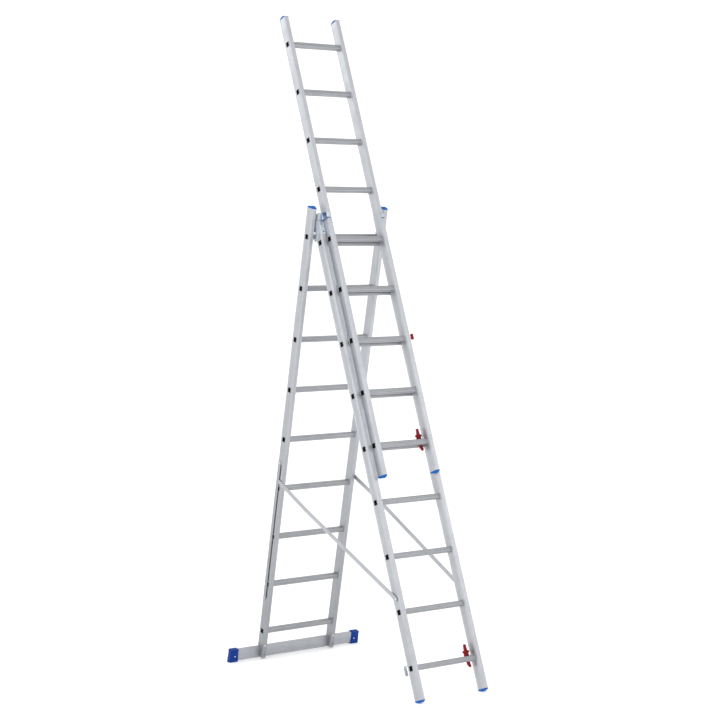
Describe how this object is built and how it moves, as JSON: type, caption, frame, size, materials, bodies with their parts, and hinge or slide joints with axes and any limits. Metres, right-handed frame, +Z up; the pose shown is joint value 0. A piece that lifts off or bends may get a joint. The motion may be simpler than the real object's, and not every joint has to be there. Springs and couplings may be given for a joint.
{
  "type": "extension ladder",
  "caption": "Three-section aluminium ladder standing as a stepladder with its upper section run out, on capped stiles and a wide stabiliser bar.",
  "frame": {"origin": "on the ground, under the middle of the standing ladder's box", "axes": "+X along the rungs, to the right of a person who climbs the front; +Y from the front feet to the stabiliser bar; +Z up"},
  "size_m": [0.852, 1.534, 3.525],
  "materials": {
    "stile_aluminium": "mill-finish extrusion with fine lengthwise ridges",
    "rung_aluminium": "ribbed extrusion, slightly duller than the stiles",
    "zinc_steel": "bright zinc-plated pressed steel",
    "blue_plastic": "moulded blue plastic, satin",
    "red_plastic": "moulded dark red plastic, satin"
  },
  "bodies": {
    "middle_section": {"middle_stile_left": "stile_aluminium", "middle_stile_right": "stile_aluminium", "middle_rung_1": "rung_aluminium", "middle_rung_2": "rung_aluminium", "middle_rung_3": "rung_aluminium", "middle_rung_4": "rung_aluminium", "middle_rung_5": "rung_aluminium", "middle_rung_6": "rung_aluminium", "middle_rung_7": "rung_aluminium", "middle_rung_8": "rung_aluminium", "middle_rung_9": "rung_aluminium", "middle_bottom_cap_left": "blue_plastic", "middle_bottom_cap_right": "blue_plastic", "guide_bracket_left": "zinc_steel", "guide_bracket_right": "zinc_steel", "hinge_plate_left": "zinc_steel", "hinge_plate_right": "zinc_steel", "hinge_pin_left": "zinc_steel", "hinge_pin_right": "zinc_steel", "rung_hook_left": "zinc_steel", "rung_hook_right": "zinc_steel"},
    "rear_section": {"rear_stile_left": "stile_aluminium", "rear_stile_right": "stile_aluminium", "rear_rung_1": "rung_aluminium", "rear_rung_2": "rung_aluminium", "rear_rung_3": "rung_aluminium", "rear_rung_4": "rung_aluminium", "rear_rung_5": "rung_aluminium", "rear_rung_6": "rung_aluminium", "rear_rung_7": "rung_aluminium", "rear_rung_8": "rung_aluminium", "rear_rung_9": "rung_aluminium", "rear_top_cap_left": "blue_plastic", "rear_top_cap_right": "blue_plastic", "stabiliser_bar": "stile_aluminium", "bar_foot_left": "blue_plastic", "bar_foot_right": "blue_plastic", "stay_track_left": "stile_aluminium", "stay_track_right": "stile_aluminium"},
    "upper_section": {"upper_stile_left": "stile_aluminium", "upper_stile_right": "stile_aluminium", "upper_rung_1": "rung_aluminium", "upper_rung_2": "rung_aluminium", "upper_rung_3": "rung_aluminium", "upper_rung_4": "rung_aluminium", "upper_rung_5": "rung_aluminium", "upper_rung_6": "rung_aluminium", "upper_rung_7": "rung_aluminium", "upper_rung_8": "rung_aluminium", "upper_rung_9": "rung_aluminium", "upper_bottom_cap_left": "blue_plastic", "upper_bottom_cap_right": "blue_plastic", "upper_top_cap_left": "blue_plastic", "upper_top_cap_right": "blue_plastic"},
    "stay_left": {"stay_left": "stile_aluminium"},
    "stay_right": {"stay_right": "stile_aluminium"},
    "middle_lever": {"middle_lock_lever": "red_plastic"},
    "upper_lever": {"upper_lock_lever": "red_plastic"},
    "lock_knob": {"lock_knob": "red_plastic"}
  },
  "joints": [
    {"name": "legs_fold", "type": "hinge", "parent": "middle_section", "child": "rear_section", "pos_m": [0, 0.09758, 2.35512], "axis": [-1, 0, 0], "range_deg": [0, 33.7]},
    {"name": "upper_extension", "type": "slide", "parent": "middle_section", "child": "upper_section", "axis": [0, 0.319, 0.9478], "range_m": [-1.12, 0.56]},
    {"name": "stay_left_swing", "type": "hinge", "parent": "middle_section", "child": "stay_left", "pos_m": [-0.2116, -0.5774, 0.49368], "axis": [1, 0, 0], "range_deg": [0, 45]},
    {"name": "stay_right_swing", "type": "hinge", "parent": "middle_section", "child": "stay_right", "pos_m": [0.2116, -0.5774, 0.49368], "axis": [1, 0, 0], "range_deg": [0, 45]},
    {"name": "middle_lever_swing", "type": "hinge", "parent": "middle_section", "child": "middle_lever", "pos_m": [0.157, -0.66707, 0.15668], "axis": [0, -0.9478, 0.319], "range_deg": [0, 20]},
    {"name": "upper_lever_swing", "type": "hinge", "parent": "upper_section", "child": "upper_lever", "pos_m": [0.126, -0.35248, 1.2357], "axis": [0, -0.9478, 0.319], "range_deg": [0, 20]},
    {"name": "lock_knob_pull", "type": "slide", "parent": "middle_section", "child": "lock_knob", "axis": [1, 0, 0], "range_m": [0, 0.008], "stiffness_N_per_m": 400, "springref_m": -0.004}
  ],
  "couplings": [
    {"joint": "stay_left_swing", "follows": "legs_fold", "ratio": 1.331},
    {"joint": "stay_right_swing", "follows": "legs_fold", "ratio": 1.331}
  ]
}
